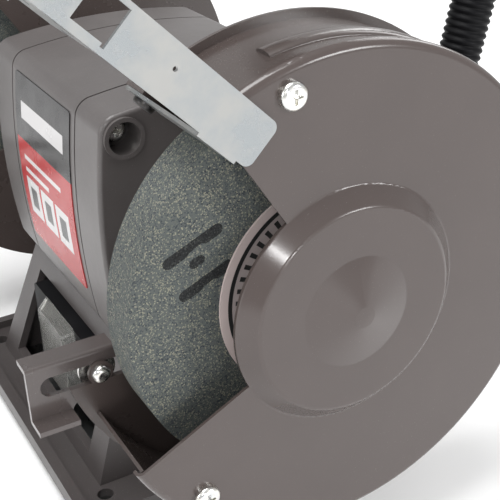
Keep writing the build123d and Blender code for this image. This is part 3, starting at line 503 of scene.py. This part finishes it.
def build_ribbed_hose():
    """Nodes that sweep a ribbed sleeve along a curve."""
    tree = bpy.data.node_groups.new("ribbed_hose", "GeometryNodeTree")
    tree.interface.new_socket("Geometry", in_out="INPUT", socket_type="NodeSocketGeometry")
    for label, value in (("Radius", 0.01), ("Pitch", 0.0033), ("Groove", 0.0011), ("Step", 0.0005)):
        tree.interface.new_socket(label, in_out="INPUT", socket_type="NodeSocketFloat").default_value = value
    tree.interface.new_socket("Finish", in_out="INPUT", socket_type="NodeSocketMaterial")
    tree.interface.new_socket("Geometry", in_out="OUTPUT", socket_type="NodeSocketGeometry")
    ins, outs = tree.nodes.new("NodeGroupInput"), tree.nodes.new("NodeGroupOutput")
    steps = node(tree, "GeometryNodeResampleCurve", mode="LENGTH")
    wire(tree, ins.outputs["Geometry"], steps.inputs["Curve"])
    wire(tree, ins.outputs["Step"], steps.inputs["Length"])
    along = node(tree, "GeometryNodeSplineParameter")
    phase = maths(tree, "DIVIDE", maths(tree, "MULTIPLY", along.outputs["Length"], tau), ins.outputs["Pitch"])
    wave = maths(tree, "SINE", phase)
    crest = maths(tree, "POWER", maths(tree, "ADD", maths(tree, "MULTIPLY", wave, 0.5), 0.5), 0.6)
    depth = maths(tree, "MULTIPLY", maths(tree, "SUBTRACT", 1.0, crest), ins.outputs["Groove"])
    sized = node(tree, "GeometryNodeSetCurveRadius")
    wire(tree, steps.outputs["Curve"], sized.inputs["Curve"])
    wire(tree, maths(tree, "SUBTRACT", ins.outputs["Radius"], depth), sized.inputs["Radius"])
    profile = node(tree, "GeometryNodeCurvePrimitiveCircle", mode="RADIUS")
    profile.inputs["Resolution"].default_value = 36
    profile.inputs["Radius"].default_value = 1.0
    sweep = node(tree, "GeometryNodeCurveToMesh")
    wire(tree, sized.outputs["Curve"], sweep.inputs["Curve"])
    wire(tree, profile.outputs["Curve"], sweep.inputs["Profile Curve"])
    sweep.inputs["Fill Caps"].default_value = True
    if "Scale" in sweep.inputs:
        radius = node(tree, "GeometryNodeInputRadius")
        wire(tree, radius.outputs["Radius"], sweep.inputs["Scale"])
    smooth = node(tree, "GeometryNodeSetShadeSmooth")
    wire(tree, sweep.outputs["Mesh"], smooth.inputs["Geometry"])
    real = node(tree, "GeometryNodeRealizeInstances")
    wire(tree, smooth.outputs["Geometry"], real.inputs["Geometry"])
    painted = node(tree, "GeometryNodeSetMaterial")
    wire(tree, real.outputs["Geometry"], painted.inputs["Geometry"])
    wire(tree, ins.outputs["Finish"], painted.inputs["Material"])
    wire(tree, painted.outputs["Geometry"], outs.inputs["Geometry"])
    return tree


ribbed_hose = build_ribbed_hose()


def made_plain(source, name):
    """Turns an object's evaluated result into a plain mesh piece."""
    bpy.context.view_layer.update()
    evaluated = source.evaluated_get(bpy.context.evaluated_depsgraph_get())
    mesh = bpy.data.meshes.new_from_object(evaluated, preserve_all_data_layers=True)
    bpy.data.objects.remove(source)
    return plain_mesh(name, mesh)


def hose_piece(name, points, radius):
    """One stretch of the flexible neck through the given points."""
    curve = bpy.data.curves.new(name + "_line", "CURVE")
    curve.dimensions = "3D"
    line = curve.splines.new("POLY")
    line.points.add(len(points) - 1)
    for target, point in zip(line.points, points):
        target.co = (*point, 1.0)
    source = plain_mesh(name + "_line", curve)
    growth = source.modifiers.new("ribs", "NODES")
    growth.node_group = ribbed_hose
    growth[socket_id(ribbed_hose, "Radius")] = radius
    growth[socket_id(ribbed_hose, "Pitch")] = 0.0033
    growth[socket_id(ribbed_hose, "Finish")] = hose_sleeve
    return made_plain(source, name)


joints = {joint["name"]: joint for joint in frame["joints"]}
hinges = [Vector(joints[name]["pos_m"])
          for name in ("lamp_base_bend", "lamp_middle_bend", "lamp_upper_bend", "lamp_head_tilt")]
neck_radius = (Vector(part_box("gooseneck_lower")[1]).x - Vector(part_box("gooseneck_lower")[0]).x) / 2
head_lean = radians(-150)
head_way = Vector((0, sin(head_lean), cos(head_lean)))

stops = [hinges[0] - Vector((0, 0, 0.006))] + hinges[1:]
turns = [(hinges[0] + hinges[1]) / 2, (hinges[1] + hinges[2]) / 2, (hinges[2] + hinges[3]) / 2]


def rounded(before, corner, after, reach, count=14):
    """Points of the smooth bend at a corner between two straight runs."""
    start = corner + (before - corner).normalized() * reach
    end = corner + (after - corner).normalized() * reach
    return [start.lerp(corner, t).lerp(corner.lerp(end, t), t) for t in (i / count for i in range(count + 1))]


head_start = hinges[3] + head_way * 0.0112
neck_runs = (
    ("neck_base", [stops[0], hinges[0], turns[0]], "stand", "lamp_lower", hinges[0]),
    ("neck_middle", [turns[0]] + rounded(hinges[0], hinges[1], hinges[2], 0.028) + [turns[1]],
     "lamp_lower", "lamp_middle", hinges[1]),
    ("neck_upper", [turns[1]] + rounded(hinges[1], hinges[2], hinges[3], 0.028) + [turns[2]],
     "lamp_middle", "lamp_upper", hinges[2]),
    ("neck_head", [turns[2]] + rounded(hinges[2], hinges[3], head_start, 0.011) + [head_start],
     "lamp_upper", "lamp_head", hinges[3]),
)
for name, points, below, above, hinge in neck_runs:
    piece = hose_piece(name, points, neck_radius - 0.0002)
    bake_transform(piece)
    if name == "neck_base":
        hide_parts("gooseneck_lower")
    elif name == "neck_middle":
        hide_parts("gooseneck_middle")
    elif name == "neck_upper":
        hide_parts("gooseneck_upper")


def stroke_outline(length, width, notch):
    """Round-ended stroke along local X, worn away on one edge."""
    half, radius = length / 2 - width / 2, width / 2
    turns = 10
    right = [(half + radius * sin(pi * t / turns), radius * cos(pi * t / turns)) for t in range(turns + 1)]
    left = [(-half - radius * sin(pi * t / turns), -radius * cos(pi * t / turns)) for t in range(turns + 1)]
    worn = [(half * 0.45, -radius), (half * 0.30, -radius + notch), (-half * 0.20, -radius + notch * 0.7),
            (-half * 0.35, -radius)]
    return right + worn + left


def stencil_marks(side):
    """Plain slanted strokes stencilled on a wheel's outer side."""
    mesh = bpy.data.meshes.new("strokes")
    work = bmesh.new()
    face_x = (wheel_high.x + 0.00006) * side
    slant = radians(22.6)
    for centre_y, centre_z, length, width, notch in ((-0.0497, 0.0294, 0.0240, 0.0042, 0.0012),
                                                     (-0.0456, 0.0154, 0.0220, 0.0042, 0.0009),
                                                     (-0.0485, 0.0234, 0.0060, 0.0036, 0.0004)):
        corners = []
        for along, across in stroke_outline(length, width, notch):
            y = centre_y + along * cos(slant) - across * sin(slant)
            z = centre_z + along * sin(slant) + across * cos(slant)
            corners.append(Vector((face_x, y, spindle.z + z)))
        face = work.faces.new([work.verts.new(c) for c in corners])
        face.normal_update()
        if face.normal.x * side < 0:
            face.normal_flip()
    bmesh.ops.triangulate(work, faces=work.faces[:])
    work.to_mesh(mesh)
    work.free()
    mesh.materials.append(stencil_ink)
    piece = plain_mesh("wheel_strokes_" + ("right" if side > 0 else "left"), mesh)
    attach(piece, "rotor")


stencil_marks(1)
stencil_marks(-1)


# ================================================================ setting
def build_setting():
    floor_mesh = bpy.data.meshes.new("floor")
    floor_mesh.from_pydata([(-6, -6, 0), (6, -6, 0), (6, 6, 0), (-6, 6, 0)], [], [(0, 1, 2, 3)])
    floor = plain_mesh("floor", floor_mesh)
    floor.location.z = cad_box[0][2]
    pale = bpy.data.materials.new("pale_floor")
    pale.use_nodes = True
    pale.node_tree.nodes["Principled BSDF"].inputs["Base Color"].default_value = rgba(0.93, 0.93, 0.93)
    pale.node_tree.nodes["Principled BSDF"].inputs["Roughness"].default_value = 0.9
    floor_mesh.materials.append(pale)

    world = bpy.data.worlds.new("studio")
    bpy.context.scene.world = world
    world.use_nodes = True
    world.node_tree.nodes["Background"].inputs["Color"].default_value = rgba(1.0, 1.0, 1.0)
    world.node_tree.nodes["Background"].inputs["Strength"].default_value = 0.62
    bpy.context.scene.view_settings.view_transform = "Standard"

    for name, place, aim, size, power in (
            ("overhead", (0.10, -0.25, 1.35), (0.0, 0.0, 0.1), 0.7, 13.0),
            ("front_left", (0.15, -1.25, 0.55), (0.1, 0.0, 0.1), 0.5, 3.5),
            ("side", (1.25, 0.70, 0.55), (0.1, 0.0, 0.1), 0.35, 6.0),
            ("near_lens", (0.85, -0.50, 0.62), (0.15, 0.0, 0.14), 0.12, 1.6),
            ("low_side", (1.50, 0.02, 0.25), (0.15, 0.0, 0.12), 0.14, 1.8),
            ("rear", (-0.6, 1.1, 0.9), (0.0, 0.0, 0.1), 0.8, 7.0)):
        lamp = bpy.data.lights.new(name, "AREA")
        lamp.size = size
        lamp.energy = power
        holder = bpy.data.objects.new(name, lamp)
        bpy.context.scene.collection.objects.link(holder)
        holder.location = place
        holder.rotation_euler = (Vector(aim) - Vector(place)).to_track_quat("-Z", "Y").to_euler()


build_setting()

bpy.context.view_layer.update()
